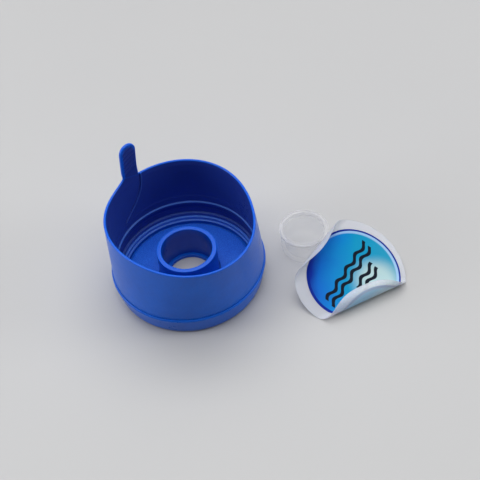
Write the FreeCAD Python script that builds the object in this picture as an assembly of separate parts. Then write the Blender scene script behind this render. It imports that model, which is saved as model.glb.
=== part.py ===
import FreeCAD, Part
import math
import os

# Push-on non-spill cap for a 55 mm water-bottle neck, standing upside down on its crown, with its
# probe plug and its peeled round label beside it. Units are mm, +Z is up, Z = 0 is the table, and
# the cap's axis is X = Y = 0. Every length below is a real dimension of the object.

# --- crown: the closed end of the cap, with the step that carries the skirt
CROWN_H = 9.4             # table to the top of the step
CROWN_BASE_R = 29.45      # outer wall, just above the rounded bottom edge
CROWN_TOP_R = 30.9        # outer wall at the step, its widest point
CROWN_EDGE_R = 1.7        # rounding of the bottom edge
CROWN_FLOOR_T = 1.5
LEDGE_EDGE_R = 0.5        # rounding of the step's outer edge
PROBE_HOLE_R = 8.6        # hole in the crown that the dispenser's probe enters
SEAL_STEPS = ((26.1, 3.4), (26.7, 4.9), (27.4, 6.6))   # inner steps: (radius, top height)
RECESS_R = 28.3           # relief under the retaining bead

# --- skirt
SKIRT_TOP_Z = 35.4
SKIRT_BASE_R = 30.25
SKIRT_TOP_R = 29.6
NECK_R = 28.4             # smooth bore round the bottle neck
NECK_FOOT_R = 28.2        # slightly tighter between that bore and the bead
NECK_Z0, NECK_Z1 = 16.6, 33.2
LEAD_IN_R = 28.7          # opened out at the rim
BEAD_R = 27.6             # crest of the retaining bead
BEAD_Z = 13.1
BEAD_HALF_H = 1.4
LIP_EDGE_R = 0.4

# --- pull tab
TAB_ANGLE = 130.0         # degrees round the cap from +X
TAB_HINGE_Z = 38.3        # the score line where it starts to fold
TAB_HINGE_GAP = 0.15
TAB_TIP_Z = 52.3
TAB_HALF_W = 3.75
TAB_SKEW = -1.0           # sideways lean of the tip, towards the sharp-cornered side
TAB_FILLET_W = 13.0       # length of the swept corner on the pulled side
TAB_FILLET_MID = 2.6      # where the swept corner has fallen most of its height
TAB_RIM_W = 0.8           # raised border round the tab's outer face
TAB_RIM_T = 0.35
TAB_RIBS = 4
TAB_RIB_PITCH = 2.2
TAB_RIB_R = 0.35
TEAR_R = 0.35             # tear groove inside the skirt, from the tab's sharp corner to the bead
TEAR_PATH = ((122.4, 38.6), (123.2, 32.6), (125.6, 27.7), (131.0, 23.2), (138.8, 19.6), (146.0, 17.4))

# --- probe tube
TUBE_R = 12.0
TUBE_BORE_R = 10.1
TUBE_TOP_Z = 15.8
TUBE_EDGE_R = 0.45

# --- foam liner
LINER_IN_R = 12.4
LINER_OUT_R = 25.1
LINER_T = 1.0

# --- plug
PLUG_X, PLUG_Y = 47.4, 8.3
PLUG_H = 11.5
PLUG_LIP_R = 9.9
PLUG_LIP_H = 1.1
PLUG_TOP_R = 9.55         # body, under the lip
PLUG_BASE_R = 9.2
PLUG_EDGE_R = 0.8
PLUG_IN_TOP_R = 8.4
PLUG_IN_BASE_R = 7.7
PLUG_FLOOR_T = 1.3
PLUG_BEADS_Z = (2.6, 4.3)
PLUG_BEAD_R = 0.25

# --- label
LABEL_R = 22.6
LABEL_T = 0.16
LABEL_X, LABEL_Y = 62.8, -11.75    # its centre
LABEL_HEADING_DEG = 21.9           # direction of the near curl
LABEL_SLOPE_DEG = 22.7             # slope at its centre, up towards the plug
LABEL_NEAR_D = -9.97               # where the near curl starts, from the centre
LABEL_NEAR_CURL_R = 3.32
LABEL_BEND_R = 62.0                # gentle bend between the two curls
LABEL_FAR_D = 13.97                # where the far curl starts
LABEL_FAR_CURL_R = 3.5
LABEL_FAR_TURN_DEG = 27.0          # direction of the far curl, from the near one
LABEL_TABLE_GAP = 0.05
LABEL_STRIPS = (18, 8, 12)         # flat strips in the near curl, the middle and the far curl

DEG = math.pi / 180.0


def vec(x, y, z):
    return FreeCAD.Vector(x, y, z)


def revolved(points):
    """Solid of revolution about Z from a closed (radius, height) outline."""
    wire = Part.makePolygon([vec(r, 0, z) for r, z in points + points[:1]])
    return Part.Face(wire).revolve(vec(0, 0, 0), vec(0, 0, 1), 360)


def corner(r0, z0, radius, start_deg, end_deg, steps=6):
    """Points of a rounded corner with its centre at (r0, z0)."""
    turn = (end_deg - start_deg) / steps
    return [(r0 + radius * math.cos((start_deg + turn * i) * DEG),
             z0 + radius * math.sin((start_deg + turn * i) * DEG)) for i in range(steps + 1)]


def crown():
    """Closed end: flat floor with the probe hole, stepped sealing corner, outer wall and step."""
    inner = [(PROBE_HOLE_R, 0), (PROBE_HOLE_R, CROWN_FLOOR_T)]
    z = CROWN_FLOOR_T
    for r, top in SEAL_STEPS:
        inner += [(r, z), (r, top)]
        z = top
    inner += [(RECESS_R, z), (RECESS_R, CROWN_H)]
    ledge = corner(CROWN_TOP_R - LEDGE_EDGE_R, CROWN_H - LEDGE_EDGE_R, LEDGE_EDGE_R, 90, 0)
    base = corner(CROWN_BASE_R - CROWN_EDGE_R, CROWN_EDGE_R, CROWN_EDGE_R, 0, -90)
    return revolved(inner + ledge + base)


def bead():
    """Rounded crest that grips under the neck's ring, as (radius, height) points going up."""
    depth_low, depth_up = RECESS_R - BEAD_R, NECK_FOOT_R - BEAD_R
    pts = []
    for i in range(-6, 7):
        a = i / 6.0
        depth = depth_low if a < 0 else depth_up
        pts.append((BEAD_R + depth * (1 - math.cos(a * math.pi / 2)), BEAD_Z + BEAD_HALF_H * a))
    return pts


def tab_frame(shape):
    """Turn a shape drawn with +X outward and +Y round the cap to the tab's place."""
    return shape.rotate(vec(0, 0, 0), vec(0, 0, 1), TAB_ANGLE) or shape


def radial_prism(outline, r0, r1):
    """Extrude a closed outline of (sideways, height) points or edges outward from r0 to r1."""
    return Part.Face(outline).extrude(vec(r1 - r0, 0, 0))


def wall_ring(r_in, r_out, z0, z1):
    outer = Part.makeCylinder(r_out, z1 - z0, vec(0, 0, z0))
    return outer.cut(Part.makeCylinder(r_in, z1 - z0, vec(0, 0, z0)))


def tab_shoulder():
    """The wall's rise at the tab's root: a sharp corner one side, a long swept corner the other."""
    low = SKIRT_TOP_Z - 1.2
    top = TAB_HINGE_Z - TAB_HINGE_GAP
    right, left = -TAB_HALF_W, TAB_HALF_W + 0.3
    r0 = NECK_R - 2
    p = [vec(r0, right, low), vec(r0, right, top), vec(r0, left, top),
         vec(r0, left + TAB_FILLET_W, SKIRT_TOP_Z - 0.3), vec(r0, left + TAB_FILLET_W, low)]
    mid = vec(r0, left + TAB_FILLET_MID, SKIRT_TOP_Z + 1.2)
    sweep = Part.BSplineCurve()
    sweep.interpolate([p[2], mid, p[3]])
    edges = [Part.makeLine(p[0], p[1]), Part.makeLine(p[1], p[2]), sweep.toShape(),
             Part.makeLine(p[3], p[4]), Part.makeLine(p[4], p[0])]
    block = radial_prism(Part.Wire(edges), r0, SKIRT_TOP_R + 2)
    return block.common(wall_ring(LEAD_IN_R, SKIRT_TOP_R, low, TAB_HINGE_Z))


def tear_groove():
    """Round cutter that follows the tear line down the inside of the wall."""
    r = NECK_R + TEAR_R * 0.2
    path = Part.BSplineCurve()
    path.interpolate([vec(r * math.cos(a * DEG), r * math.sin(a * DEG), z) for a, z in TEAR_PATH])
    start, along = path.value(path.FirstParameter), path.tangent(path.FirstParameter)[0]
    ring = Part.Wire(Part.makeCircle(TEAR_R, start, along))
    return Part.Wire(path.toShape()).makePipeShell([ring], True, True)


def skirt():
    """Thin wall that grips the bottle neck, with the retaining bead, the rise that carries the
    pull tab and the groove that guides the tear."""
    lip = corner(SKIRT_TOP_R - LIP_EDGE_R, SKIRT_TOP_Z - LIP_EDGE_R, LIP_EDGE_R, 90, 0)
    inner = [(RECESS_R, CROWN_H)] + bead()
    inner += [(NECK_FOOT_R, NECK_Z0 - 0.6), (NECK_R, NECK_Z0), (NECK_R, NECK_Z1),
              (LEAD_IN_R, SKIRT_TOP_Z)]
    wall = revolved(inner + lip + [(SKIRT_BASE_R, CROWN_H)])
    wall = wall.fuse(tab_frame(tab_shoulder()))
    return wall.cut(tear_groove()).removeSplitter()


def tab_centre(z):
    """Sideways position of the tab's centre line at height z."""
    t = (z - TAB_HINGE_Z) / (TAB_TIP_Z - TAB_HINGE_Z)
    return 0.15 + TAB_SKEW * t


def tab_outline(inset, z0):
    """Closed outline of the tab in the plane X = NECK_R - 2, shrunk by inset."""
    r0 = NECK_R - 2
    w = TAB_HALF_W - inset
    shoulder_z = TAB_TIP_Z - TAB_HALF_W
    c0, c1 = tab_centre(z0), tab_centre(shoulder_z)
    a, b = vec(r0, c0 - w, z0), vec(r0, c0 + w, z0)
    c, d = vec(r0, c1 + w, shoulder_z), vec(r0, c1 - w, shoulder_z)
    tip = vec(r0, tab_centre(TAB_TIP_Z), TAB_TIP_Z - inset)
    return Part.Wire([Part.makeLine(a, b), Part.makeLine(b, c),
                      Part.Arc(c, tip, d).toShape(), Part.makeLine(d, a)])


def pull_tab():
    """Finger tab: round-ended, with a raised border outside and slanting grip ribs inside."""
    z0 = TAB_HINGE_Z
    far = SKIRT_TOP_R + 2
    plate = radial_prism(tab_outline(0, z0), NECK_R - 2, far)
    plate = plate.common(wall_ring(LEAD_IN_R, SKIRT_TOP_R, z0 - 1, TAB_TIP_Z + 1))
    border = radial_prism(tab_outline(0, z0 + 1.2), NECK_R - 2, far)
    border = border.cut(radial_prism(tab_outline(TAB_RIM_W, z0 + 1.2 + TAB_RIM_W), NECK_R - 2, far))
    border = border.common(wall_ring(SKIRT_TOP_R - 0.2, SKIRT_TOP_R + TAB_RIM_T, z0, TAB_TIP_Z + 1))
    tab = plate.fuse(border)
    for i in range(TAB_RIBS):
        z = TAB_TIP_Z - 4.2 - TAB_RIB_PITCH * i
        c = tab_centre(z)
        length = 2 * TAB_HALF_W - 2.2
        slant = vec(0, math.cos(20 * DEG), math.sin(20 * DEG))
        start = vec(LEAD_IN_R + 0.1, c, z) - slant * (length / 2)
        tab = tab.fuse(Part.makeCylinder(TAB_RIB_R, length, start, slant))
    return tab_frame(tab.removeSplitter())


def probe_tube():
    """Tube that holds the plug and guides the dispenser's probe into the bottle."""
    mid = (TUBE_R + TUBE_BORE_R) / 2
    z = TUBE_TOP_Z - TUBE_EDGE_R
    rim = (corner(TUBE_R - TUBE_EDGE_R, z, TUBE_EDGE_R, 0, 90)
           + corner(TUBE_BORE_R + TUBE_EDGE_R, z, TUBE_EDGE_R, 90, 180))
    assert TUBE_BORE_R < mid < TUBE_R
    return revolved([(TUBE_BORE_R, CROWN_FLOOR_T), (TUBE_R, CROWN_FLOOR_T)] + rim)


def foam_liner():
    """Soft sealing ring on the crown's floor, between the probe tube and the sealing steps."""
    z0, z1 = CROWN_FLOOR_T, CROWN_FLOOR_T + LINER_T
    return revolved([(LINER_IN_R, z0), (LINER_OUT_R, z0), (LINER_OUT_R, z1), (LINER_IN_R, z1)])


def plug():
    """Cup that closes the probe tube and rides on the probe; it stands with its mouth up."""
    slope = (PLUG_TOP_R - PLUG_BASE_R) / PLUG_H
    outer = corner(PLUG_BASE_R - PLUG_EDGE_R, PLUG_EDGE_R, PLUG_EDGE_R, -90, 0)
    for z in PLUG_BEADS_Z:
        r = PLUG_BASE_R + slope * z
        outer += [(r, z - 0.4), (r + PLUG_BEAD_R, z), (r, z + 0.4)]
    lip_z = PLUG_H - PLUG_LIP_H
    outer += [(PLUG_TOP_R, lip_z - 0.35), (PLUG_LIP_R, lip_z)]
    outer += corner(PLUG_LIP_R - 0.3, PLUG_H - 0.3, 0.3, 0, 90, 3)
    inner = corner(PLUG_IN_TOP_R + 0.3, PLUG_H - 0.3, 0.3, 90, 180, 3)
    inner += corner(PLUG_IN_BASE_R - 0.9, PLUG_FLOOR_T + 0.9, 0.9, 0, -90, 4)
    cup = revolved([(0, 0)] + outer + inner + [(0, PLUG_FLOOR_T)])
    return cup.translate(vec(PLUG_X, PLUG_Y, 0)) or cup


def label_rulings():
    """The straight lines along which the peeled label is bent, from its near edge to its far one,
    as (distance from the centre, direction in degrees, radius of the bend there) rows."""
    near, middle, far = LABEL_STRIPS
    reach = LABEL_R * 0.998
    rows = []
    for i in range(near):
        # strips get narrower towards the edge, where the disc narrows quickly
        rows.append((-reach + (LABEL_NEAR_D + reach) * (i / near) ** 1.25, 0.0, LABEL_NEAR_CURL_R))
    for i in range(middle):
        part = i / middle
        rows.append((LABEL_NEAR_D + (LABEL_FAR_D - LABEL_NEAR_D) * part,
                     LABEL_FAR_TURN_DEG * part, LABEL_BEND_R))
    for i in range(far + 1):
        rows.append((reach - (reach - LABEL_FAR_D) * (1 - i / far) ** 1.25,
                     LABEL_FAR_TURN_DEG, LABEL_FAR_CURL_R))
    return rows


def ruling_point(distance, turn, sideways):
    """Point on a ruling of the flat label, sideways from the ruling's middle."""
    c, s = math.cos(turn * DEG), math.sin(turn * DEG)
    return vec(sideways * c - distance * s, sideways * s + distance * c, 0)


def label():
    """Round peeled film. It is a row of flat strips hinged along straight rulings, so it bends
    without stretching: two opposite edges curl up and over, in directions that differ a little."""
    rows = label_rulings()
    count = len(rows)
    bends = []
    for k, (d, _, radius) in enumerate(rows):
        width = (rows[min(k + 1, count - 1)][0] - rows[max(k - 1, 0)][0]) / 2
        bends.append(width / radius / DEG)

    def hinge(k, sign):
        d, turn, _ = rows[k]
        axis = ruling_point(0, turn, 1)
        return FreeCAD.Placement(vec(0, 0, 0), FreeCAD.Rotation(axis, sign * bends[k]),
                                 ruling_point(d, turn, 0))

    start = max(k for k in range(count) if rows[k][0] <= 0)
    heading = FreeCAD.Rotation(vec(0, 0, 1), LABEL_HEADING_DEG)
    slope = FreeCAD.Rotation(vec(1, 0, 0), LABEL_SLOPE_DEG)
    places = {start: FreeCAD.Placement(vec(LABEL_X, LABEL_Y, 0), heading.multiply(slope))}
    for k in range(start + 1, count):
        places[k] = places[k - 1].multiply(hinge(k, 1))
    for k in range(start - 1, -1, -1):
        places[k] = places[k + 1].multiply(hinge(k + 1, -1))

    lines = []
    for k, (d, turn, _) in enumerate(rows):
        half = math.sqrt(LABEL_R ** 2 - d ** 2)
        a, b = (places[k].multVec(ruling_point(d, turn, side)) for side in (-half, half))
        up = places[k].Rotation.multVec(vec(0, 0, 1))
        if k > 0:
            up = up + places[k - 1].Rotation.multVec(vec(0, 0, 1))
        up.normalize()
        lines.append((a, b, up * LABEL_T))
    lift = vec(0, 0, LABEL_TABLE_GAP - min(min(a.z, b.z) for a, b, _ in lines))
    sections = []
    for a, b, thick in lines:
        a, b = a + lift, b + lift
        sections.append(Part.makePolygon([a, b, b + thick, a + thick, a]))
    return Part.makeLoft(sections, True, True)


NODES = (
    ("crown", crown),
    ("skirt", skirt),
    ("pull_tab", pull_tab),
    ("probe_tube", probe_tube),
    ("foam_liner", foam_liner),
    ("plug", plug),
    ("label", label),
)

os.makedirs("parts", exist_ok=True)
for name, build in NODES:
    shape = build()
    if len(shape.Solids) == 1:
        shape = shape.Solids[0]
    box = shape.BoundBox
    print(name, "solids", len(shape.Solids), "valid", shape.isValid(), "volume", round(shape.Volume, 1),
          "box", [round(v, 2) for v in (box.XMin, box.YMin, box.ZMin, box.XMax, box.YMax, box.ZMax)])
    shape.exportStep("parts/" + name + ".step")
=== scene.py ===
import math

import bmesh
import bpy
from mathutils import Matrix, Vector, noise


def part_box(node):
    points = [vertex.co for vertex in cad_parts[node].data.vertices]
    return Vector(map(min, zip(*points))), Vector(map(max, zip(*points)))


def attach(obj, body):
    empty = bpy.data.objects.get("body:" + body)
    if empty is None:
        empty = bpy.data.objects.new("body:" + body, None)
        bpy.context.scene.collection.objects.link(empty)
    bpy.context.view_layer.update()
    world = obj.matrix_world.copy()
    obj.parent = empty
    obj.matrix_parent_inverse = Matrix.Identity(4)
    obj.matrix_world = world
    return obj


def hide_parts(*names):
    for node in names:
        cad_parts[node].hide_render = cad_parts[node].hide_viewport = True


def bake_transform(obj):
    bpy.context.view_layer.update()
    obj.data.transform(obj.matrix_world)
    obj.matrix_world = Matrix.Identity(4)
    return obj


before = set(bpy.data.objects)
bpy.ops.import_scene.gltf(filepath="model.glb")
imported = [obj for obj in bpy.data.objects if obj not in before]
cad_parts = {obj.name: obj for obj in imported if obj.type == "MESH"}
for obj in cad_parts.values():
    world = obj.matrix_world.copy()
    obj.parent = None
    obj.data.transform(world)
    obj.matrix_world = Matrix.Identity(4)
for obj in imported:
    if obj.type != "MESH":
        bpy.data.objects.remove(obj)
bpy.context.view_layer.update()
MM = 0.001

# ---------------------------------------------------------------- camera, floor and light

scene = bpy.context.scene
scene.view_settings.view_transform = "Standard"


def look(name, target, distance, elevation, roll, lens):
    """Camera that looks along +Y and down, from distance mm off the target on the table."""
    e, r = math.radians(elevation), math.radians(roll)
    ahead = Vector((0, math.cos(e), -math.sin(e)))
    right, up = Vector((1, 0, 0)), Vector((0, math.sin(e), math.cos(e)))
    x = right * math.cos(r) + up * math.sin(r)
    y = up * math.cos(r) - right * math.sin(r)
    cam = bpy.data.objects.new(name, bpy.data.cameras.new(name))
    scene.collection.objects.link(cam)
    cam.data.lens, cam.data.sensor_width = lens, 36.0
    cam.data.clip_start, cam.data.clip_end = 0.01, 20
    turn = Matrix((x, y, -ahead)).transposed().to_4x4()
    cam.matrix_world = Matrix.Translation((Vector(target) - ahead * distance) * MM) @ turn
    return cam


scene.camera = look("camera", target=(21.32, 15.32, 0), distance=400, elevation=49.02, roll=-5.89,
                    lens=71.93)

# lamps and world: places and sizes in metres, power in watts
ON_TABLE, ON_WALL = (0.02, 0.0, 0.0), (0.0, 0.0, 0.02)
COOL_WHITE = (0.97, 0.98, 1.0)
WORLD_LEVEL = 0.06


def area(name, place, aim, size, power, colour=(1, 1, 1)):
    """Rectangular soft lamp that faces the point it is aimed at."""
    data = bpy.data.lights.new(name, "AREA")
    data.shape, data.size, data.size_y = "RECTANGLE", size[0], size[1]
    data.energy, data.color = power, colour
    lamp = bpy.data.objects.new(name, data)
    scene.collection.objects.link(lamp)
    lamp.location = place
    lamp.rotation_euler = (Vector(aim) - Vector(place)).to_track_quat("-Z", "Y").to_euler()
    return lamp


back = area("back_soft", (0.0, 1.25, 1.35), ON_TABLE, (2.0, 1.3), 8.5)
back.visible_glossy = False         # it lights surfaces without being mirrored in them
area("top_soft", (0.02, 0.22, 1.5), ON_TABLE, (2.2, 2.0), 27)
area("left_soft", (-0.85, -0.05, 0.30), ON_WALL, (0.35, 0.45), 3.2, COOL_WHITE)
area("right_soft", (0.85, -0.10, 0.32), ON_WALL, (0.35, 0.45), 2.0, COOL_WHITE)

world = bpy.data.worlds.new("studio")
scene.world = world
world.use_nodes = True
world.node_tree.nodes["Background"].inputs["Color"].default_value = (0.97, 0.975, 1.0, 1)
world.node_tree.nodes["Background"].inputs["Strength"].default_value = WORLD_LEVEL

# ---------------------------------------------------------------- node helpers


class Nodes:
    """Short names for building one node material."""

    def __init__(self, name):
        self.mat = bpy.data.materials.new(name)
        self.mat.use_nodes = True
        self.tree = self.mat.node_tree
        self.bsdf = self.tree.nodes["Principled BSDF"]

    def add(self, kind, **values):
        node = self.tree.nodes.new(kind)
        for key, value in values.items():
            setattr(node, key, value)
        return node

    def put(self, socket, value):
        if isinstance(value, bpy.types.NodeSocket):
            self.tree.links.new(value, socket)
        else:
            socket.default_value = value

    def coords(self):
        return self.add("ShaderNodeTexCoord").outputs["Object"]

    def field(self, name):
        """A number stored on the mesh, 0 where a mesh has none."""
        return self.add("ShaderNodeAttribute", attribute_name=name).outputs["Fac"]

    def scaled(self, vector, scale):
        node = self.add("ShaderNodeMapping")
        self.put(node.inputs["Vector"], vector)
        node.inputs["Scale"].default_value = scale
        return node.outputs["Vector"]

    def noise(self, vector, scale, detail=4.0, rough=0.5, distortion=0.0):
        node = self.add("ShaderNodeTexNoise")
        self.put(node.inputs["Vector"], vector)
        node.inputs["Scale"].default_value = scale
        node.inputs["Detail"].default_value = detail
        node.inputs["Roughness"].default_value = rough
        node.inputs["Distortion"].default_value = distortion
        return node.outputs["Fac"]

    def voronoi(self, vector, scale):
        node = self.add("ShaderNodeTexVoronoi", feature="F1")
        self.put(node.inputs["Vector"], vector)
        node.inputs["Scale"].default_value = scale
        return node.outputs["Distance"]

    def math(self, kind, a, b=0.0):
        node = self.add("ShaderNodeMath", operation=kind)
        self.put(node.inputs[0], a)
        self.put(node.inputs[1], b)
        return node.outputs[0]

    def span(self, value, low, high, to_low=0.0, to_high=1.0, smooth=False):
        node = self.add("ShaderNodeMapRange", clamp=True)
        if smooth:
            node.interpolation_type = "SMOOTHSTEP"
        for socket, v in zip(node.inputs[:5], (value, low, high, to_low, to_high)):
            self.put(socket, v)
        return node.outputs[0]

    def ramp(self, value, stops):
        node = self.add("ShaderNodeValToRGB")
        self.put(node.inputs[0], value)
        marks = node.color_ramp.elements
        while len(marks) < len(stops):
            marks.new(0.5)
        for mark, (place, colour) in zip(marks, stops):
            mark.position, mark.color = place, (*colour, 1)
        return node.outputs["Color"]

    def mix(self, fac, a, b):
        node = self.add("ShaderNodeMix", data_type="RGBA")
        self.put(node.inputs[0], fac)
        self.put(node.inputs[6], a if isinstance(a, bpy.types.NodeSocket) else (*a, 1))
        self.put(node.inputs[7], b if isinstance(b, bpy.types.NodeSocket) else (*b, 1))
        return node.outputs[2]

    def bump(self, height, strength, distance, below=None):
        node = self.add("ShaderNodeBump")
        node.inputs["Strength"].default_value = strength
        node.inputs["Distance"].default_value = distance
        self.put(node.inputs["Height"], height)
        if below is not None:
            self.put(node.inputs["Normal"], below)
        return node.outputs["Normal"]

    def set(self, **values):
        for key, value in values.items():
            self.put(self.bsdf.inputs[key.replace("_", " ")], value)


def rgb(r, g, b):
    """Linear colour from 0-255 display values."""
    out = []
    for v in (r, g, b):
        v /= 255
        out.append(v / 12.92 if v <= 0.04045 else ((v + 0.055) / 1.055) ** 2.4)
    return tuple(out)


# ---------------------------------------------------------------- materials


CLOUD_DARK, CLOUD_LIGHT = (4, 84, 190), (6, 102, 219)      # the pigment's clouds
PAINTED_GLOW_BLUE = (14, 96, 222)       # painted glow: edges, rims and the tube's outside painted lighter, standing in for light through and off them
PAINTED_HIGHLIGHT_BLUE = (82, 134, 226)      # painted highlight on the sealing lips, the bead's ledge and the tear line's ridge
PAINTED_SHADE_BLUE = (44, 49, 132)       # painted shade for the inner walls, the crown's seat and the tube's bore


def moulded_blue():
    """Satin low-density polyethylene: cloudy pigment, faint draw lines, orange peel, fine scuffs.
    The mesh's fields say where painted shade, painted glow and painted highlights go."""
    n = Nodes("cap_plastic")
    p = n.coords()
    cloud = n.noise(p, 55, 5, 0.55)
    speck = n.noise(p, 900, 3, 0.6, 0.8)
    tone = n.math("ADD", n.math("MULTIPLY", cloud, 0.8), n.math("MULTIPLY", speck, 0.2))
    base = n.ramp(tone, [(0.3, rgb(*CLOUD_DARK)), (0.72, rgb(*CLOUD_LIGHT))])
    # painted shade, painted glow and painted highlights mixed into the base colour
    for field, colour in (("painted_shade", PAINTED_SHADE_BLUE), ("thin", PAINTED_GLOW_BLUE), ("painted_highlight", PAINTED_HIGHLIGHT_BLUE)):
        base = n.mix(n.field(field), base, rgb(*colour))
    drawn = n.noise(n.scaled(p, (700, 700, 35)), 1.0, 3, 0.5, 0.6)
    scuff = n.noise(n.scaled(p, (420, 420, 1500)), 1.0, 3, 0.55, 0.8)
    rough = n.math("ADD", n.span(cloud, 0.3, 0.7, 0.26, 0.34), n.span(scuff, 0.4, 0.8, 0.0, 0.08))
    peel = n.noise(p, 1400, 2, 0.5, 0.8)
    soft = n.noise(p, 160, 2, 0.5)
    normal = n.bump(soft, 0.10, 0.0006)
    for height, strength, depth in ((peel, 0.10, 0.00008), (drawn, 0.10, 0.00005), (scuff, 0.03, 0.00003)):
        normal = n.bump(height, strength, depth, normal)
    n.set(Base_Color=base, Roughness=rough, Normal=normal, IOR=1.36)
    n.set(Subsurface_Weight=0.05, Subsurface_Radius=(0.3, 0.6, 1.0), Subsurface_Scale=0.0015)
    return n.mat


def foam_blue():
    """Closed-cell foam: open skin pits and a soft, dull face."""
    n = Nodes("liner_foam")
    p = n.coords()
    cells = n.voronoi(p, 2600)
    fine = n.noise(p, 5200, 3, 0.6)
    cloud = n.noise(p, 90, 4, 0.6)
    shade = n.math("ADD", n.span(cells, 0.1, 0.6, 0.25, 0.6), n.math("MULTIPLY", cloud, 0.4))
    base = n.ramp(shade, [(0.3, rgb(8, 74, 202)), (0.6, rgb(13, 95, 228)), (0.85, rgb(30, 117, 243))])
    normal = n.bump(cells, 0.5, 0.00012)
    normal = n.bump(fine, 0.3, 0.00006, normal)
    n.set(Base_Color=base, Roughness=n.span(cells, 0.0, 0.6, 0.75, 0.58), Normal=normal, IOR=1.45)
    return n.mat


def milky_plug():
    """Natural polyethylene: milky, lets light through, with flow clouds and fine scratches."""
    n = Nodes("plug_plastic")
    p = n.coords()
    cloud = n.noise(p, 140, 4, 0.6, 0.4)
    base = n.ramp(cloud, [(0.3, rgb(240, 241, 244)), (0.7, rgb(250, 250, 252))])
    scratch = n.noise(n.scaled(p, (300, 300, 2400)), 1.0, 4, 0.7)
    rough = n.span(scratch, 0.35, 0.75, 0.28, 0.42)
    normal = n.bump(n.noise(p, 1200, 2, 0.5), 0.12, 0.0001)
    normal = n.bump(scratch, 0.08, 0.00005, normal)
    n.set(Base_Color=base, Roughness=rough, Normal=normal, IOR=1.35)
    n.set(Transmission_Weight=0.05, Alpha=n.span(n.field("rim"), 0.0, 1.0, 0.13, 0.22))
    n.set(Subsurface_Weight=0.4, Subsurface_Radius=(1.0, 1.0, 1.0), Subsurface_Scale=0.003)
    return n.mat


blue = moulded_blue()
foam = foam_blue()
milky = milky_plug()

# ---------------------------------------------------------------- mesh helpers


def build(name, verts, faces, materials, marks=None, merge=None, uv=None, fields=None):
    """One smooth-shaded mesh object from points in mm. marks: a material number for each face.
    merge: joins points closer than this. fields: named numbers, one for each point."""
    mesh = bpy.data.meshes.new(name)
    mesh.from_pydata([Vector(v) * MM for v in verts], [], faces)
    for m in materials:
        mesh.materials.append(m)
    if marks:
        mesh.polygons.foreach_set("material_index", marks)
    for field, values in (fields or {}).items():
        mesh.attributes.new(field, "FLOAT", "POINT").data.foreach_set("value", values)
    if uv:
        layer = mesh.uv_layers.new(name="flat")
        for loop in mesh.loops:
            layer.data[loop.index].uv = uv[loop.vertex_index]
    bm = bmesh.new()
    bm.from_mesh(mesh)
    if merge:
        bmesh.ops.remove_doubles(bm, verts=bm.verts, dist=merge * MM)
    bmesh.ops.recalc_face_normals(bm, faces=bm.faces)
    bm.to_mesh(mesh)
    bm.free()
    mesh.polygons.foreach_set("use_smooth", [True] * len(mesh.polygons))
    mesh.update()
    ob = bpy.data.objects.new(name, mesh)
    scene.collection.objects.link(ob)
    return ob


ROUND_STEPS = 5                 # stretches on each rounded corner
LONG_EDGE, HOLD = 0.9, 0.25     # a longer edge gets a point near each end, to keep its shading flat


def outline(corners):
    """Closed (radius, height) outline with its corners rounded. A corner is (r, z, rounding)."""
    ring = []
    count = len(corners)
    for i, (r, z, rounding) in enumerate(corners):
        here = Vector((r, z))
        back = Vector(corners[i - 1][:2]) - here
        on = Vector(corners[(i + 1) % count][:2]) - here
        angle = back.angle(on) if rounding > 0 else math.pi
        if rounding <= 0 or angle > math.pi - 0.05:
            ring.append(here)
            continue
        reach = rounding / math.tan(angle / 2)
        reach = min(reach, back.length * 0.48, on.length * 0.48)
        a, b = here + back.normalized() * reach, here + on.normalized() * reach
        for k in range(ROUND_STEPS + 1):
            t = k / ROUND_STEPS
            ring.append(a * (1 - t) ** 2 + here * 2 * t * (1 - t) + b * t ** 2)
    full = []
    for i, a in enumerate(ring):
        b = ring[(i + 1) % len(ring)]
        full.append(a)
        length = (b - a).length
        if length > LONG_EDGE:
            inset = min(HOLD, length / 4) / length
            full += [a.lerp(b, inset), a.lerp(b, 1 - inset)]
    return [tuple(p) for p in full]


def lathe(profile, centre=(0, 0), segments=256, wobble=None):
    """Verts and faces of a closed outline turned round a vertical axis."""
    verts, faces, m = [], [], len(profile)
    for i in range(segments):
        a = 2 * math.pi * i / segments
        for r, z in profile:
            rr, zz = (r, z) if wobble is None else wobble(r, z, a)
            verts.append((centre[0] + rr * math.cos(a), centre[1] + rr * math.sin(a), zz))
        k = (i + 1) % segments
        for j in range(m):
            q = (j + 1) % m
            faces.append((i * m + j, k * m + j, k * m + q, i * m + q))
    return verts, faces


# ---------------------------------------------------------------- crown

FLOOR_Z = 1.5
HOLE_R = 8.6
FACE_R = 27.85                  # flat face that the cap stands on
SEAT_R = 28.3                   # inner radius of the seat under the skirt
SEAL_R = 26.1                   # wall below the lowest sealing lip
LEDGE_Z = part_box("crown")[1][2] / MM
LEDGE_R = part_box("crown")[1][0] / MM
# the sealing steps from the top: (radius above the lip, radius below it, height of the lip)
SEAL_LIPS = [(SEAT_R, 27.4, 6.6), (27.4, 26.7, 4.9), (26.7, SEAL_R, 3.4)]

crown_corners = [
    (HOLE_R, 0.0, 0.25), (FACE_R, 0.0, 0.4), (28.9, 0.45, 0.9), (29.55, 1.9, 1.2),
    (LEDGE_R, LEDGE_Z - 0.55, 0.5), (LEDGE_R - 0.35, LEDGE_Z, 0.3),
    (30.0, LEDGE_Z, 0.1), (SEAT_R, LEDGE_Z, 0.0)]
for above, below, z in SEAL_LIPS:
    crown_corners += [(above, z, 0.25), (below, z, 0.35)]
crown_corners += [(SEAL_R, FLOOR_Z, 0.3), (HOLE_R, FLOOR_Z, 0.3)]
verts, faces = lathe(outline(crown_corners))


def lip_highlight(r, z):
    """Painted highlight on the three sealing lips, strongest on the lowest one."""
    if not (26.0 <= r <= 28.4 and 2.9 <= z <= 6.9):
        return 0.0
    return 0.2 if z > 5.3 else 0.8 if z > 4.5 else 0.6 if z > 3.9 else 1.0


lip_shine = [lip_highlight(math.hypot(x, y), z) for x, y, z in verts]
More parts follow.
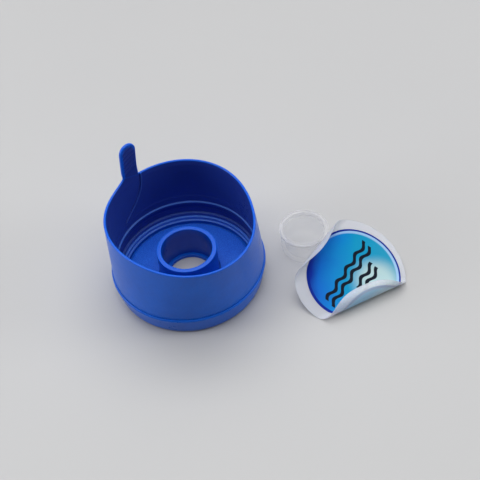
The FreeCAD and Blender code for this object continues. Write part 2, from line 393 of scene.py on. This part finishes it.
# painted shade on the crown's inner seat and its top sealing lip
painted_shade = [0.8 if 26.0 < math.hypot(x, y) < 28.6 and z > 5.2 else 0.0 for x, y, z in verts]
crown = build("crown_moulding", verts, faces, [blue], fields={"painted_highlight": lip_shine, "painted_shade": painted_shade})
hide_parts("crown")
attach(crown, "cap")

# ---------------------------------------------------------------- probe tube

TUBE_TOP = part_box("probe_tube")[1][2] / MM
TUBE_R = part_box("probe_tube")[1][0] / MM
TUBE_BORE_R = 10.1
tube_corners = [
    (TUBE_BORE_R, FLOOR_Z - 0.1, 0), (12.3, FLOOR_Z - 0.1, 0), (12.05, FLOOR_Z + 0.6, 0.4),
    (TUBE_R - 0.06, TUBE_TOP - 2.0, 0.3), (TUBE_R, TUBE_TOP - 0.8, 0.5), (TUBE_R, TUBE_TOP, 0.55),
    (TUBE_BORE_R, TUBE_TOP, 0.45), (TUBE_BORE_R, TUBE_TOP - 4.0, 0.2), (10.02, 6.0, 0.2),
    (TUBE_BORE_R, 3.4, 0.3)]
verts, faces = lathe(outline(tube_corners), segments=192)
# painted glow on the tube's top and, weaker, on its outside
thin = [1.0 if z > TUBE_TOP - 0.3 else 0.4 if math.hypot(x, y) > TUBE_R - 0.4 else 0.0
        for x, y, z in verts]
# painted shade down the tube's bore
painted_shade = [0.4 if math.hypot(x, y) < TUBE_BORE_R + 0.2 and z < TUBE_TOP - 0.8 else 0.0 for x, y, z in verts]
tube = build("probe_tube_moulding", verts, faces, [blue], fields={"thin": thin, "painted_shade": painted_shade})
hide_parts("probe_tube")
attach(tube, "cap")

# ---------------------------------------------------------------- foam liner

LINER_LOW, LINER_TOP = (v[2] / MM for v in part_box("foam_liner"))
LINER_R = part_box("foam_liner")[1][0] / MM
EDGE_WAVE, FACE_WAVE = 0.10, 0.12


def cut_edge(r, z, a):
    """A die-cut edge is never quite round, and the ring lies a little unevenly."""
    wave = noise.noise(Vector((3 * math.cos(a), 3 * math.sin(a), r * 0.2)))
    lift = noise.noise(Vector((r * 0.12 * math.cos(a), r * 0.12 * math.sin(a), 7.0)))
    return r + EDGE_WAVE * wave, z + (FACE_WAVE * lift - FACE_WAVE / 2 if z > LINER_LOW + 0.5 else 0)


liner_corners = [(12.4, LINER_LOW, 0), (LINER_R, LINER_LOW, 0), (LINER_R - 0.05, LINER_TOP, 0.3)]
liner_corners += [(r, LINER_TOP, 0) for r in (24, 22, 20, 18, 16, 14)] + [(12.45, LINER_TOP, 0.3)]
verts, faces = lathe(outline(liner_corners), wobble=cut_edge)
liner = build("foam_liner_ring", verts, faces, [foam])
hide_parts("foam_liner")
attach(liner, "cap")

# ---------------------------------------------------------------- skirt and pull tab, one sheet

OUTER, INNER = 0, 1             # the two sides of the sheet
RIM_Z = 35.4
FOOT_R, RIM_R = 30.25, 29.6     # outer radius at the crown's ledge and at the rim
GROOVE, GROOVE_H = 0.18, 0.35   # shadow line just above the ledge
WALL_R, NECK_R = 28.2, 28.4     # inner radius just above the bead, and higher up
WIDEN_Z, WIDEN_H = 16.0, 0.6    # where the inner wall goes from one to the other
LEAD_Z, LEAD_H, LEAD = 33.2, 2.2, 0.3       # the lead-in: its start, its height, how far it opens
LIP = 0.42                      # in-plane depth of the rounded edge
EDGE_Z = RIM_Z - LIP
STRETCH_Z = 30.0                # rows above this rise towards the tab
BEAD_TOP = (12.7, 13.3)         # heights of the bead's ledge that carries a painted highlight
INNER_SHADE_PAINT = 0.8                 # how strongly the inner side is painted with shade

TAB_ANGLE = math.radians(130.0)
TAB_TIP_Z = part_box("pull_tab")[1][2] / MM
TAB_ROOT_Z = 37.7
TAB_W = 3.75                    # half the tab's width
TAB_SHIFT = 0.15                # the tab's middle line, sideways from its angle
TAB_SKEW = -1.0                 # how far its tip leans sideways
FILLET_W = 12.0                 # length along the rim of the fillet beside its root
MID_R = 29.0                    # radius where its width is measured
FLAT_W = TAB_W - LIP            # half its width, and its tip's radius, inside the rounded edge
TIP_CENTRE_Z = TAB_TIP_Z - LIP - FLAT_W
BORDER = 0.32                   # height of the border round its outer face
RIB_Z, RIB_PITCH, RIB_SLANT, RIB_H = 40.4, 2.05, 0.36, 0.30

# columns of the sheet: right of the tab, across it, left of it, and the rest of the turn
RIGHT_COLUMNS, TAB_COLUMNS, LEFT_COLUMNS, REST_COLUMNS = 20, 36, 56, 300
FINE_FROM, FINE_TO = math.radians(117), math.radians(152)
FIRST, LAST = RIGHT_COLUMNS, RIGHT_COLUMNS + TAB_COLUMNS       # the tab's outermost columns
TAB_ROWS = 72

# the retaining bead: (height, radius) up its face, with a rounded ledge on top
BEAD = [(11.5, 28.3), (11.62, 28.1), (11.72, 27.8), (11.88, 27.65), (12.1, 27.58), (12.4, 27.56),
        (12.65, 27.57), (12.8, 27.61), (12.92, 27.69), (13.02, 27.79), (13.12, 27.92), (13.22, 28.04),
        (13.34, 28.13), (13.5, 28.18), (13.8, WALL_R)]
# heights of the sheet's rows, closer together at the bead
ROWS = [LEDGE_Z, 9.65, 10.1, 10.6, 11.1] + [z for z, _ in BEAD] + [14.2, 14.65]
ROWS += [14.75 + 0.25 * i for i in range(81)] + [EDGE_Z]

# how far the rim is out of round and out of level: (waves in a turn, cosine mm, sine mm)
OVAL = [(2, -0.96, -0.91), (3, -0.81, -0.17)]
TILT = [(1, -0.66, -0.11)]

# the tear line on the inner wall: (angle in degrees, height)
TEAR = [(122.4, 38.6), (123.2, 32.6), (125.6, 27.7), (131.0, 23.2), (138.8, 19.6), (146.0, 17.4)]
TEAR_FROM, TEAR_TO, TEAR_LOW = math.radians(119), math.radians(150), 16.5
TEAR_STEPS = 24                 # points between two of its places
TEAR_DEPTH, RIDGE_H = 0.36, 0.30


def smooth(t):
    t = min(1.0, max(0.0, t))
    return t * t * (3 - 2 * t)


def r_out(z):
    r = FOOT_R + (RIM_R - FOOT_R) * min(1.0, (z - LEDGE_Z) / (RIM_Z - LEDGE_Z))
    return r - GROOVE * math.exp(-((z - LEDGE_Z) / GROOVE_H) ** 2)


def r_in(z):
    if z <= BEAD[0][0]:
        return BEAD[0][1]
    for (z0, r0), (z1, r1) in zip(BEAD, BEAD[1:]):
        if z <= z1:
            return r0 + (r1 - r0) * (z - z0) / (z1 - z0)
    if z < LEAD_Z:
        return WALL_R + (NECK_R - WALL_R) * smooth((z - WIDEN_Z) / WIDEN_H)
    return NECK_R + LEAD * min(1.0, (z - LEAD_Z) / LEAD_H)


def wave_at(a, waves):
    return sum(cosine * math.cos(k * a) + sine * math.sin(k * a) for k, cosine, sine in waves)


def squeezed(r, a, z):
    """A thin skirt is never quite round once it has been handled: it is off by up to 2 mm at the
    rim, and true where it meets the crown. Returns the moved radius and height."""
    f = max(0.0, min(1.04, (z - LEDGE_Z) / (RIM_Z - LEDGE_Z))) ** 1.35
    return r + f * wave_at(a, OVAL), z + f * wave_at(a, TILT)


def tear_points():
    """The tear line, as (sideways mm, height) points on the inner wall, finely spaced."""
    pts = [Vector((math.radians(a) * NECK_R, z)) for a, z in TEAR]
    pts = [pts[0] * 2 - pts[1]] + pts + [pts[-1] * 2 - pts[-2]]
    fine = []
    for i in range(1, len(pts) - 2):
        p0, p1, p2, p3 = pts[i - 1:i + 3]
        for k in range(TEAR_STEPS):
            t = k / TEAR_STEPS
            fine.append(0.5 * (2 * p1 + (p2 - p0) * t + (2 * p0 - 5 * p1 + 4 * p2 - p3) * t * t
                               + (3 * p1 - p0 - 3 * p2 + p3) * t ** 3))
    return fine


tear_line = tear_points()


def tear_depth(a, z):
    """How far the tear line moves the inner wall outwards: a groove, and on one side of it a fine
    ridge, where the number is negative."""
    if not TEAR_FROM < a < TEAR_TO or z < TEAR_LOW:
        return 0.0
    u = a * NECK_R

    def square_to(p):
        return (u - p.x) ** 2 + (z - p.y) ** 2

    near = min(tear_line, key=square_to)
    d = square_to(near) ** 0.5
    side = (u + z * 0.35) - (near.x + near.y * 0.35)
    ridge = RIDGE_H * math.exp(-((d - 0.55) / 0.28) ** 2) if side < 0 else 0.0
    return TEAR_DEPTH * math.exp(-(d / 0.27) ** 2) - ridge


# sideways positions across the tab, closer together at its edges
ACROSS = [TAB_SHIFT + FLAT_W * math.sin(math.pi / 2 * (2 * i / TAB_COLUMNS - 1))
          for i in range(TAB_COLUMNS + 1)]


def skirt_angles():
    """Angles of the columns for one turn, starting right of the tab."""
    root = [TAB_ANGLE + math.asin(t / MID_R) for t in ACROSS]
    fine_right, fine_left = root[0] - FINE_FROM, FINE_TO - root[-1]
    right = [root[0] - fine_right * (i + 1) / RIGHT_COLUMNS for i in range(RIGHT_COLUMNS)][::-1]
    left = [root[-1] + fine_left * (i + 1) / LEFT_COLUMNS for i in range(LEFT_COLUMNS)]
    gap = 2 * math.pi - (left[-1] - right[0])
    rest = [left[-1] + gap * (i + 1) / REST_COLUMNS for i in range(REST_COLUMNS - 1)]
    return right + root + left + rest


ANGLES = skirt_angles()


def top(i):
    """Height of the skirt's last row in column i, which rises to the tab's root."""
    if FIRST <= i <= LAST:
        return EDGE_Z + (TAB_ROOT_Z - EDGE_Z) * smooth((i - FIRST) / TAB_COLUMNS)
    if i > LAST:
        u = (ANGLES[i] - ANGLES[LAST]) * MID_R / FILLET_W
        if u < 1:
            return EDGE_Z + (TAB_ROOT_Z - EDGE_Z) * (1 - math.sqrt(max(0.0, 1 - (1 - u) ** 2)))
    return EDGE_Z


class Sheet:
    """The points and faces of the skirt and tab, with a number of each kind for every point."""

    def __init__(self):
        self.verts, self.faces = [], []
        self.fields = {"thin": [], "painted_highlight": [], "painted_shade": []}

    def add(self, place, thin=0.0, painted_highlight=0.0, painted_shade=0.0):
        self.verts.append(tuple(place))
        for kind, value in (("thin", thin), ("painted_highlight", painted_highlight), ("painted_shade", painted_shade)):
            self.fields[kind].append(value)
        return len(self.verts) - 1

    def on_wall(self, side, a, z, extra, thin, painted_highlight=0.0):
        """A point on one side of the sheet, moved outwards by extra."""
        r = (r_out(z) if side == OUTER else r_in(z)) + extra
        r, z = squeezed(r, a, z)
        # painted shade on the whole inner side
        painted_shade = INNER_SHADE_PAINT if side == INNER else 0.0
        return self.add((r * math.cos(a), r * math.sin(a), z), thin, painted_highlight, painted_shade)


def skirt_walls(sheet):
    """Both sides of the skirt and its foot. Returns point numbers by (side, column, row)."""
    grid = {}
    count, rows = len(ANGLES), len(ROWS)
    for side in (OUTER, INNER):
        for i, a in enumerate(ANGLES):
            for j, z in enumerate(ROWS):
                if z > STRETCH_Z:
                    z = STRETCH_Z + (z - STRETCH_Z) * (top(i) - STRETCH_Z) / (EDGE_Z - STRETCH_Z)
                extra, painted_highlight = 0.0, 0.0
                if side == INNER:
                    extra = tear_depth(a, z)
                    # painted highlight along the bead's ledge
                    painted_highlight = 0.75 if BEAD_TOP[0] < z < BEAD_TOP[1] else 0.0
                # painted highlight on the tear line's ridge
                if extra < 0:
                    painted_highlight = min(0.35, -extra * 1.4)
                # painted glow along the skirt's last row at the rim
                thin = 0.5 if j == rows - 1 else 0.0
                grid[side, i, j] = sheet.on_wall(side, a, z, extra, thin, painted_highlight)
        for i in range(count):
            k = (i + 1) % count
            for j in range(rows - 1):
                sheet.faces.append((grid[side, i, j], grid[side, k, j],
                                    grid[side, k, j + 1], grid[side, i, j + 1]))
    for i in range(count):                              # closed foot, inside the crown's step
        k = (i + 1) % count
        sheet.faces.append((grid[OUTER, i, 0], grid[INNER, i, 0], grid[INNER, k, 0], grid[OUTER, k, 0]))
    return grid


def tab_place(c, part):
    """Column c of the tab, part of the way up it: sideways from its middle line, sideways from its
    angle, and height."""
    t = ACROSS[c] - TAB_SHIFT
    low = top(FIRST + c)
    high = TIP_CENTRE_Z + math.sqrt(max(0.0, FLAT_W ** 2 - t * t))
    z = low + (high - low) * part
    lean = TAB_SKEW * smooth((z - TAB_ROOT_Z) / (TAB_TIP_Z - TAB_ROOT_Z))
    return t, TAB_SHIFT + t + lean, z


def edge_distance(t, z):
    """Distance to the tab's edge, in mm, measured in its own plane."""
    return FLAT_W - abs(t) if z < TIP_CENTRE_Z else FLAT_W - math.hypot(t, z - TIP_CENTRE_Z)


def tab_relief(side, t, z, edge):
    """How far the tab's face moves outwards: a border on the outer side, ribs on the inner one."""
    if side == OUTER:
        return BORDER * smooth((z - TAB_ROOT_Z) / 2.5) * (1 - smooth((edge - 0.35) / 0.5))
    turn = (z - RIB_Z + RIB_SLANT * t) / RIB_PITCH      # whole numbers at the ribs' crests
    if not -0.3 < turn < 5.2:
        return 0.0
    return -RIB_H * max(0.0, math.cos(math.pi * 2 * turn)) ** 1.5 * smooth((edge - 0.25) / 0.6)


def tab_walls(sheet, grid):
    """Both sides of the tab, on top of the skirt's last row. Point numbers by (side, column, row)."""
    tab = {}
    for side in (OUTER, INNER):
        for c in range(TAB_COLUMNS + 1):
            tab[side, c, 0] = grid[side, FIRST + c, len(ROWS) - 1]
            for v in range(1, TAB_ROWS + 1):
                t, u, z = tab_place(c, v / TAB_ROWS)
                edge = edge_distance(t, z)
                # painted glow on the border, full at the tip and all along one side, where it is lit
                lit = 1.0 if t > 0 or z > TAB_TIP_Z - 4 else 0.15
                thin = 0.9 * (1 - smooth((edge - 0.1) / 1.0)) * lit
                a = TAB_ANGLE + math.asin(u / MID_R)
                tab[side, c, v] = sheet.on_wall(side, a, z, tab_relief(side, t, z, edge), thin)
        for c in range(TAB_COLUMNS):
            for v in range(TAB_ROWS):
                sheet.faces.append((tab[side, c, v], tab[side, c + 1, v],
                                    tab[side, c + 1, v + 1], tab[side, c, v + 1]))
    return tab


def rounded_edge(sheet, loop, steps=8):
    """Closes the gap between the two sides along a closed loop of (outer, inner) point numbers."""
    size = len(loop)
    mids, radial = [], []
    for o, i in loop:
        a, b = Vector(sheet.verts[o]), Vector(sheet.verts[i])
        mids.append((a + b) / 2)
        radial.append((a - b) / 2)
    strips = []
    for k in range(size):
        through = radial[k].normalized()
        before = (mids[k] - mids[k - 1]).cross(through).normalized()
        after = (mids[(k + 1) % size] - mids[k]).cross(through).normalized()
        out = (before + after).normalized()
        miter = 1.0 / max(0.6, out.dot(before))
        if k == 0:
            facing = 1 if out.z > 0 else -1
        out = out * facing
        strip = [loop[k][0]]
        for s in range(1, steps):
            phi = math.pi * s / steps
            p = mids[k] + radial[k] * math.cos(phi) + out * (LIP * miter * math.sin(phi) ** 0.8)
            # the rounded edge carries painted glow
            strip.append(sheet.add(p, thin=0.9))
        strips.append(strip + [loop[k][1]])
    for k in range(size):
        here, on = strips[k], strips[(k + 1) % size]
        for s in range(steps):
            sheet.faces.append((here[s], on[s], on[s + 1], here[s + 1]))


def skirt_with_tab():
    sheet = Sheet()
    grid = skirt_walls(sheet)
    tab = tab_walls(sheet, grid)
    count, rim = len(ANGLES), len(ROWS) - 1
    # round the rim from the tab's left to its right, then up, over and down the tab
    loop = [(grid[OUTER, i % count, rim], grid[INNER, i % count, rim])
            for i in range(LAST, count + FIRST + 1)]
    border = [(0, v) for v in range(1, TAB_ROWS + 1)]
    border += [(c, TAB_ROWS) for c in range(1, TAB_COLUMNS + 1)]
    border += [(TAB_COLUMNS, v) for v in range(TAB_ROWS - 1, 0, -1)]
    loop += [(tab[OUTER, c, v], tab[INNER, c, v]) for c, v in border]
    rounded_edge(sheet, loop)
    return sheet


sheet = skirt_with_tab()
skirt = build("skirt_and_tab_moulding", sheet.verts, sheet.faces, [blue], fields=sheet.fields)
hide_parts("skirt", "pull_tab")
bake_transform(skirt)

# ---------------------------------------------------------------- plug

lo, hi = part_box("plug")
PLUG = ((lo[0] + hi[0]) / 2 / MM, (lo[1] + hi[1]) / 2 / MM)
PLUG_R = (hi[0] - lo[0]) / 2 / MM
PLUG_H = hi[2] / MM
PLUG_BASE_Z = 0.08              # clear of the table: a see-through face flush with it renders dark
PLUG_WALL_R, PLUG_BEAD_R, PLUG_DRAFT = 9.2, 9.48, 0.03
CUP_FLOOR_Z = 1.3
plug_corners = [(0, 0.35, 0), (6.6, 0.35, 0.2), (7.0, PLUG_BASE_Z, 0.2), (9.15, PLUG_BASE_Z, 0.8),
                (9.25, 2.1, 0.1)]
for z in (2.6, 4.3):                                    # two sealing beads
    wall, crest = PLUG_WALL_R + PLUG_DRAFT * z, PLUG_BEAD_R + PLUG_DRAFT * z
    plug_corners += [(wall, z - 0.5, 0.2), (crest, z, 0.25), (wall, z + 0.5, 0.2)]
plug_corners += [(9.5, PLUG_H - 1.6, 0.3), (PLUG_R, PLUG_H - 1.1, 0.25), (PLUG_R, PLUG_H, 0.35),
                 (8.4, PLUG_H, 0.35), (8.2, 8.2, 0.3), (7.7, CUP_FLOOR_Z, 0.9), (4.6, CUP_FLOOR_Z, 0.2),
                 (4.4, 1.45, 0.2), (3.9, 1.45, 0.2), (3.7, CUP_FLOOR_Z, 0.2), (0, CUP_FLOOR_Z, 0)]
verts, faces = lathe(outline(plug_corners), centre=PLUG, segments=160)
rim = [1.0 if z > PLUG_H - 1.3 else 0.0 for x, y, z in verts]
plug = build("plug_cup", verts, faces, [milky], merge=0.0005, fields={"rim": rim})
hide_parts("plug")
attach(plug, "plug")

# ---------------------------------------------------------------- label

LABEL_R = 22.6
LABEL_AT = (62.8, -11.75)
HEADING, SLOPE = math.radians(21.9), math.radians(22.7)
NEAR_D, FAR_D = -9.97, 13.97
NEAR_CURL_R, BEND_R, FAR_CURL_R = 3.32, 62.0, 3.5
FAR_TURN = math.radians(27.0)
FILM = 0.16
STRIPS = (64, 72, 56)           # strips in the near curl, the middle and the far curl
LABEL_COLUMNS = 72
LABEL_CLEAR = 0.06              # height of its lowest point over the table
RIPPLE = 0.16                   # how strongly the film ripples
UV_SPAN = 50                    # mm of film across the whole of its flat map


def rulings():
    """The straight lines that the film bends along: (distance, direction, bend radius)."""
    near, middle, far = STRIPS
    reach = LABEL_R * 0.9999
    rows = []
    for i in range(near):
        rows.append((-reach + (NEAR_D + reach) * (i / near) ** 1.5, 0.0, NEAR_CURL_R))
    for i in range(middle):
        part = i / middle
        rows.append((NEAR_D + (FAR_D - NEAR_D) * part, FAR_TURN * part, BEND_R))
    for i in range(far + 1):
        rows.append((reach - (reach - FAR_D) * (1 - i / far) ** 1.5, FAR_TURN, FAR_CURL_R))
    return rows


def flat_point(d, turn, sideways):
    c, t = math.cos(turn), math.sin(turn)
    return Vector((sideways * c - d * t, sideways * t + d * c, 0))


def film_places(rows):
    """Where each flat strip of the film lies: hinged to its neighbours, so nothing stretches."""
    count = len(rows)

    def hinge(k, sign):
        d, turn, radius = rows[k]
        width = (rows[min(k + 1, count - 1)][0] - rows[max(k - 1, 0)][0]) / 2
        at = Matrix.Translation(flat_point(d, turn, 0))
        return at @ Matrix.Rotation(sign * width / radius, 4, flat_point(0, turn, 1)) @ at.inverted()

    start = max(k for k in range(count) if rows[k][0] <= 0)
    places = {start: Matrix.Translation(Vector((*LABEL_AT, 0))) @ Matrix.Rotation(HEADING, 4, "Z")
              @ Matrix.Rotation(SLOPE, 4, "X")}
    for k in range(start + 1, count):
        places[k] = places[k - 1] @ hinge(k, 1)
    for k in range(start - 1, -1, -1):
        places[k] = places[k + 1] @ hinge(k + 1, -1)
    return places


def label_sheet():
    """Both faces of the film and its cut edge. The second face and the edge are marked 1."""
    rows = rulings()
    places = film_places(rows)
    base, ups = [], []
    for k, (d, turn, _) in enumerate(rows):
        half = math.sqrt(LABEL_R ** 2 - d ** 2)
        up = (places[k].to_3x3() @ Vector((0, 0, 1)))
        if k:
            up = (up + places[k - 1].to_3x3() @ Vector((0, 0, 1))).normalized()
        ups.append(up)
        flats = [flat_point(d, turn, half * math.sin(math.pi / 2 * (2 * c / LABEL_COLUMNS - 1)))
                 for c in range(LABEL_COLUMNS + 1)]
        base.append([(places[k] @ flat, flat) for flat in flats])
    lowest = min(p.z for line in base for p, _ in line)
    rise = Vector((0, 0, LABEL_CLEAR - lowest))

    verts, uvs, faces, marks = [], [], [], []
    for thickness in (FILM, 0.0):
        for line, up in zip(base, ups):
            for p, flat in line:
                ripple = RIPPLE * (noise.noise(Vector((flat.x * 0.13, flat.y * 0.13, 3.0))) + 0.35)
                ripple = min(max(ripple, 0.0), RIPPLE - 0.01)
                verts.append(tuple(p + rise + up * (ripple + thickness)))
                uvs.append((0.5 + flat.x / UV_SPAN, 0.5 + flat.y / UV_SPAN))
    wide, count = LABEL_COLUMNS + 1, len(rows)
    half_count = wide * count
    for side in (0, 1):
        for k in range(count - 1):
            for c in range(LABEL_COLUMNS):
                a = side * half_count + k * wide + c
                faces.append((a, a + 1, a + 1 + wide, a + wide))
                marks.append(side)
    rim = list(range(LABEL_COLUMNS)) + [k * wide + LABEL_COLUMNS for k in range(count - 1)]
    rim += [(count - 1) * wide + c for c in range(LABEL_COLUMNS, 0, -1)]
    rim += [k * wide for k in range(count - 1, 0, -1)]
    for i, a in enumerate(rim):
        q = rim[(i + 1) % len(rim)]
        faces.append((a, q, half_count + q, half_count + a))
        marks.append(1)
    return verts, faces, marks, uvs


def label_fields(n):
    """Flat coordinates of the film in mm, for both of its faces."""
    uv = n.add("ShaderNodeUVMap", uv_map="flat").outputs["UV"]
    split = n.add("ShaderNodeSeparateXYZ")
    n.put(split.inputs[0], uv)
    x, y = (n.math("MULTIPLY", n.math("SUBTRACT", split.outputs[i], 0.5), UV_SPAN) for i in (0, 1))
    return uv, x, y


RING_AT, RING_R = (1.40, -0.85), 19.1
PALE_AT = (8.5, -7.5)
EMBLEM_TURN = math.radians(30.5)
EMBLEM_WAVE, EMBLEM_SWING = 7.0, 0.75       # length and height of one ripple
# four rippling lines, two long and two short: (level, start, end) in mm
EMBLEM = [(1.75, -14.3, 15.6), (-1.15, -15.4, 15.0), (-5.3, -3.0, 9.6), (-8.2, -3.0, 9.2)]


def distance(n, x, y, at):
    dx, dy = n.math("SUBTRACT", x, at[0]), n.math("SUBTRACT", y, at[1])
    return n.math("SQRT", n.math("ADD", n.math("MULTIPLY", dx, dx), n.math("MULTIPLY", dy, dy)))


def inks_on(n, uv, x, y):
    """Printed disc: its mask, distance from its centre and colour, dark blue to teal to pale; the pale
    patch is partly print and partly painted glare.
    """
    rho = distance(n, x, y, RING_AT)
    disc = n.span(rho, RING_R, RING_R - 0.12)
    sway = n.math("MULTIPLY", n.math("SUBTRACT", n.noise(uv, 4.0, 2, 0.4), 0.5), 9.0)
    value = n.math("ADD", n.math("MULTIPLY", x, 0.826), n.math("MULTIPLY", y, -0.563))
    value = n.math("ADD", value, sway)
    inks = n.ramp(n.span(value, -20, 16), [
        (0.0, rgb(6, 32, 136)), (0.12, rgb(8, 50, 168)), (0.24, rgb(8, 112, 214)),
        (0.40, rgb(6, 141, 216)), (0.56, rgb(4, 155, 203)), (0.74, rgb(12, 157, 202)),
        (1.0, rgb(40, 158, 196))])
    # pale patch round PALE_AT: the print fading to white, with painted glare in it
    pale = n.math("ADD", distance(n, x, y, PALE_AT), n.math("MULTIPLY", sway, 0.35))
    inks = n.mix(n.span(pale, 12.5, 4.5, smooth=True), inks, rgb(186, 216, 218))
    return rho, disc, inks


def emblem(n, x, y):
    """Mask of a plain emblem: rippling lines."""
    cosine, sine = math.cos(EMBLEM_TURN), math.sin(EMBLEM_TURN)
    along = n.math("ADD", n.math("MULTIPLY", x, cosine), n.math("MULTIPLY", y, sine))
    up = n.math("ADD", n.math("MULTIPLY", x, -sine), n.math("MULTIPLY", y, cosine))
    turn = n.math("MULTIPLY", along, 2 * math.pi / EMBLEM_WAVE)
    wave = n.math("MULTIPLY", n.math("SINE", turn), EMBLEM_SWING)
    ink = 0.0
    for level, low, high in EMBLEM:
        off = n.math("ABSOLUTE", n.math("SUBTRACT", n.math("SUBTRACT", up, level), wave))
        line = n.span(off, 0.80, 0.70)
        line = n.math("MULTIPLY", line, n.span(along, low, low + 0.15))
        line = n.math("MULTIPLY", line, n.span(along, high, high - 0.15))
        ink = n.math("MAXIMUM", ink, line)
    return ink


def label_front():
    n = Nodes("label_front")
    uv, x, y = label_fields(n)
    rho, disc, inks = inks_on(n, uv, x, y)
    pale_ring = n.math("MULTIPLY", n.span(rho, RING_R - 1.95, RING_R - 1.6), n.span(x, -9.0, 4.0))
    inks = n.mix(n.math("MULTIPLY", pale_ring, 0.85), inks, rgb(172, 208, 248))
    width = n.span(x, -14.0, 12.0, 1.35, 0.85)
    edge = n.math("SUBTRACT", RING_R, width)
    navy_ring = n.span(n.math("SUBTRACT", rho, edge), 0.0, 0.22)
    inks = n.mix(navy_ring, inks, rgb(0, 40, 150))
    inks = n.mix(emblem(n, x, y), inks, rgb(4, 16, 34))

    grain = n.noise(uv, 900, 3, 0.6)
    inks = n.mix(n.math("MULTIPLY", grain, 0.01), inks, rgb(235, 240, 245))
    film = n.ramp(grain, [(0.3, rgb(226, 229, 236)), (0.7, rgb(238, 241, 248))])
    base = n.mix(disc, film, inks)
    alpha = n.span(disc, 0.0, 1.0, 0.5, 1.0)
    rough = n.math("ADD", n.span(grain, 0.3, 0.7, 0.30, 0.40), n.math("MULTIPLY", disc, -0.04))
    normal = n.bump(n.noise(uv, 14, 3, 0.5), 0.12, 0.0004)
    normal = n.bump(grain, 0.08, 0.00004, normal)
    n.set(Base_Color=base, Roughness=rough, Alpha=alpha, Normal=normal, IOR=1.14)
    return n.mat


def label_back():
    n = Nodes("label_back")
    uv, x, y = label_fields(n)
    rho, disc, inks = inks_on(n, uv, x, y)
    ring = n.math("MULTIPLY", n.span(rho, RING_R - 1.3, RING_R - 0.8), disc)
    inks = n.mix(n.math("MULTIPLY", ring, 0.7), inks, rgb(40, 70, 140))
    mottle = n.noise(uv, 60, 4, 0.6)
    paper = n.ramp(mottle, [(0.3, rgb(214, 218, 230)), (0.7, rgb(232, 234, 242))])
    base = n.mix(n.math("MULTIPLY", disc, n.span(mottle, 0.2, 0.8, 0.52, 0.68)), paper, inks)
    alpha = n.span(disc, 0.0, 1.0, 0.62, 1.0)
    fibre = n.noise(uv, 700, 4, 0.7)
    normal = n.bump(fibre, 0.12, 0.00005)
    n.set(Base_Color=base, Roughness=n.span(mottle, 0.2, 0.8, 0.34, 0.5), Alpha=alpha, Normal=normal)
    n.set(IOR=1.35, Subsurface_Weight=0.1, Subsurface_Scale=0.001)
    return n.mat


verts, faces, marks, uvs = label_sheet()
label = build("label_film_sheet", verts, faces, [label_front(), label_back()], marks=marks, uv=uvs)
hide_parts("label")
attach(label, "label")

# ---------------------------------------------------------------- table

TABLE_HALF = 1500


def table_top():
    n = Nodes("table_paper")
    p = n.coords()
    cloud = n.noise(p, 3.0, 3, 0.5)
    fibre = n.noise(p, 1500, 3, 0.6)
    base = n.ramp(cloud, [(0.3, rgb(192, 192, 193)), (0.7, rgb(195, 195, 195))])
    n.set(Base_Color=base, Roughness=n.span(cloud, 0.3, 0.7, 0.5, 0.6), Normal=n.bump(fibre, 0.05, 0.00005))
    return n.mat


corners = [(x * TABLE_HALF, y * TABLE_HALF, 0) for x, y in ((-1, -1), (1, -1), (1, 1), (-1, 1))]
floor = build("table", corners, [(0, 1, 2, 3)], [table_top()])
